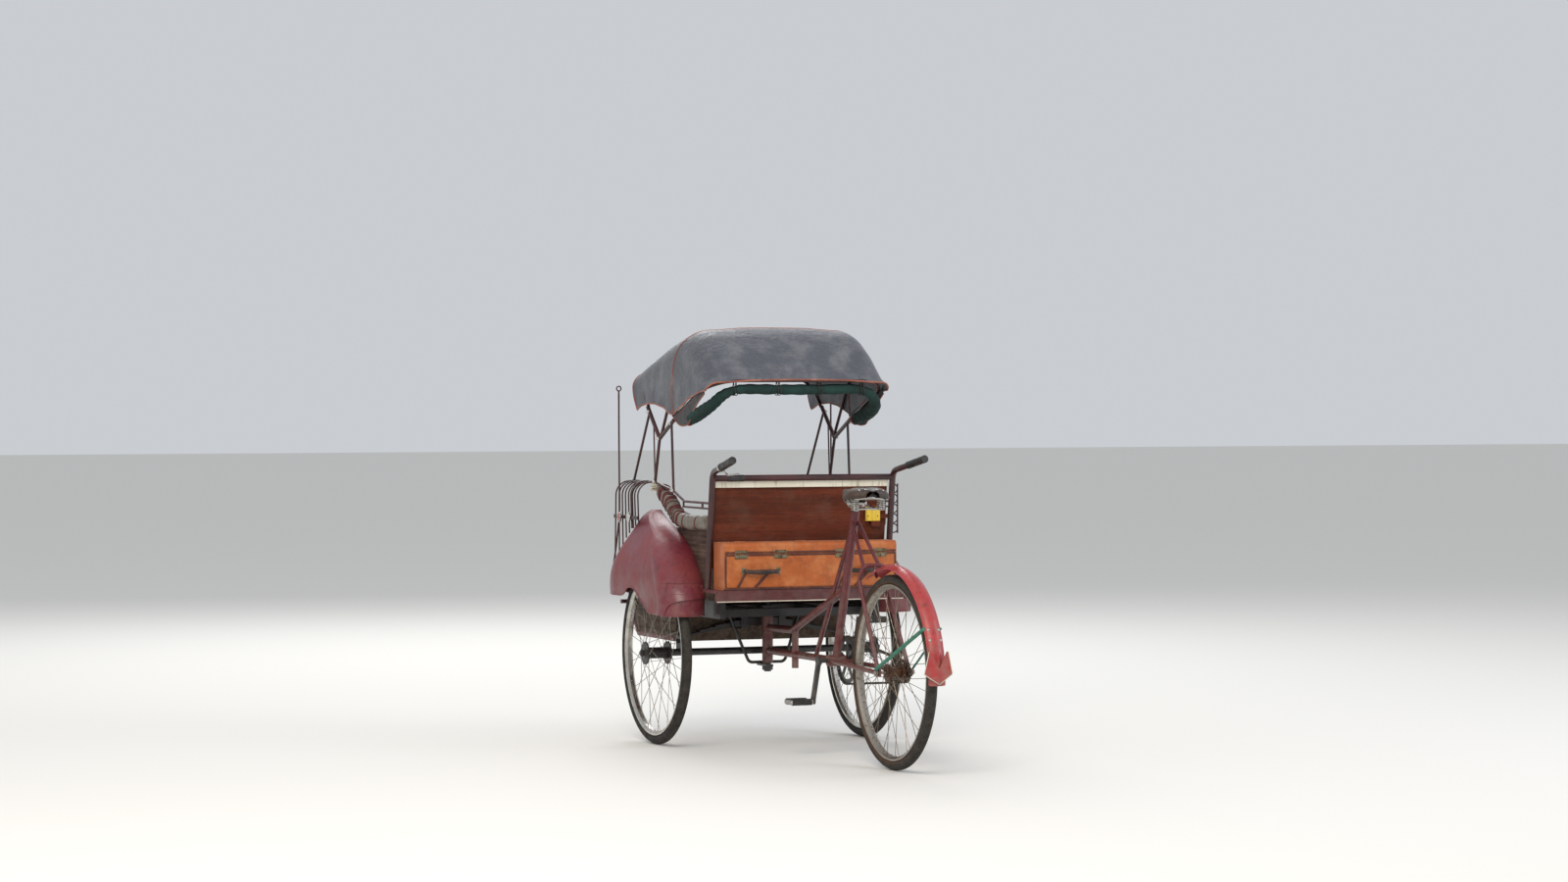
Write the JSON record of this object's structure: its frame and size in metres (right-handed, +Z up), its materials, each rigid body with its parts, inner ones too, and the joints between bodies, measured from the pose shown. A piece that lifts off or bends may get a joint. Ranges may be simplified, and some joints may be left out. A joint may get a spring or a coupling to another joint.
{
  "type": "cycle rickshaw",
  "caption": "Front-loading cycle rickshaw: hooded passenger cab on two wheels, pushed and steered by a pedalled rear half turning on a kingpin.",
  "frame": {"origin": "on the ground under the middle of the vehicle", "axes": "+Y ahead, +X to the right, +Z up"},
  "size_m": [1.0522, 2.28, 1.6094],
  "materials": {
    "tyre": "worn rubber",
    "rim_chrome": "dulled chrome",
    "rim_old": "grey-brown worn steel",
    "hub_black": "greasy black paint",
    "hub_rusty": "rusty steel",
    "chassis_black": "dusty black paint",
    "maroon_paint": "faded maroon paint",
    "dark_maroon": "dark maroon rod paint",
    "frame_red": "worn red paint",
    "guard_red": "faded bright red paint",
    "green_wrap": "green tape",
    "wood_brown": "varnished brown wood",
    "seat_vinyl": "dark red leatherette",
    "trunk_tan": "tan orange leatherette",
    "old_brass": "dull plated steel",
    "cream_paint": "cream paint",
    "armrest_grey": "worn grey leatherette",
    "hood_grey": "grey vinyl with orange-red piping",
    "curtain_green": "dark green rolled cloth",
    "black_rubber": "black grip",
    "bright_steel": "worn plating",
    "reflector": "red and clear reflectors",
    "plate_yellow": "yellow paint, blank",
    "saddle_leather": "dark worn leather",
    "chain_steel": "oily steel"
  },
  "bodies": {
    "cab": {"front_axle": "chassis_black", "leaf_spring": "chassis_black", "chassis": "chassis_black", "kingpin": "chassis_black", "stop_hoop": "chassis_black", "foot_boards": "wood_brown", "front_bar": "dark_maroon", "tub_side_left": "wood_brown", "tub_side_right": "wood_brown", "seat_box": "wood_brown", "seat_cushion": "seat_vinyl", "rear_sill": "maroon_paint", "push_frame": "dark_maroon", "handle_grips": "black_rubber", "back_panel": "wood_brown", "back_strip": "cream_paint", "back_cushion": "seat_vinyl", "rear_trunk": "trunk_tan", "trunk_fittings": "old_brass", "armrest_left": "armrest_grey", "armrest_right": "armrest_grey", "fender_left": "maroon_paint", "fender_right": "maroon_paint", "side_ribs_left": "dark_maroon", "side_ribs_right": "dark_maroon", "whip_rods": "dark_maroon", "reflectors": "reflector", "hood_irons_left": "dark_maroon", "hood_irons_right": "dark_maroon", "hood_bows": "dark_maroon", "hood_cover": "hood_grey", "curtain_roll": "curtain_green", "curtain_straps": "black_rubber", "number_board": "wood_brown", "post_scroll": "dark_maroon", "number_plate": "plate_yellow", "brake_lever": "bright_steel"},
    "front_left_wheel": {"front_left_tyre": "tyre", "front_left_rim": "rim_chrome", "front_left_hub": "hub_black"},
    "front_right_wheel": {"front_right_tyre": "tyre", "front_right_rim": "rim_chrome", "front_right_hub": "hub_black"},
    "rear_wheel": {"rear_tyre": "tyre", "rear_rim": "rim_old", "rear_hub": "hub_rusty"},
    "trunk_lid": {"trunk_lid": "trunk_tan", "lid_hasps": "old_brass"},
    "crank": {"crankset": "hub_black"},
    "left_pedal": {"pedal_left": "black_rubber"},
    "right_pedal": {"pedal_right": "black_rubber"},
    "rear_half": {"rear_frame": "frame_red", "rear_spindle": "bright_steel", "rear_mudguard": "guard_red", "mud_flap": "guard_red", "mudguard_stays": "green_wrap", "saddle": "saddle_leather", "saddle_frame": "bright_steel", "seat_post": "bright_steel", "chain": "chain_steel"}
  },
  "joints": [
    {"name": "steering", "type": "hinge", "parent": "cab", "child": "rear_half", "pos_m": [0, 0.488, 0.4], "axis": [0, 0, 1], "range_deg": [-30, 30]},
    {"name": "front_left_spin", "type": "hinge", "parent": "cab", "child": "front_left_wheel", "pos_m": [-0.437, 0.558, 0.355], "axis": [1, 0, 0], "continuous": true},
    {"name": "front_right_spin", "type": "hinge", "parent": "cab", "child": "front_right_wheel", "pos_m": [0.437, 0.558, 0.355], "axis": [1, 0, 0], "continuous": true},
    {"name": "rear_spin", "type": "hinge", "parent": "rear_half", "child": "rear_wheel", "pos_m": [0, -0.742, 0.355], "axis": [1, 0, 0], "continuous": true},
    {"name": "crank_spin", "type": "hinge", "parent": "rear_half", "child": "crank", "pos_m": [0, -0.2, 0.363], "axis": [1, 0, 0], "continuous": true},
    {"name": "left_pedal_spin", "type": "hinge", "parent": "crank", "child": "left_pedal", "pos_m": [-0.126, -0.14357, 0.20795], "axis": [1, 0, 0], "continuous": true},
    {"name": "right_pedal_spin", "type": "hinge", "parent": "crank", "child": "right_pedal", "pos_m": [0.126, -0.25643, 0.51805], "axis": [1, 0, 0], "continuous": true},
    {"name": "lid_hinge", "type": "hinge", "parent": "cab", "child": "trunk_lid", "pos_m": [0, 0.152, 0.797], "axis": [-1, 0, 0], "range_deg": [0, 65]}
  ]
}
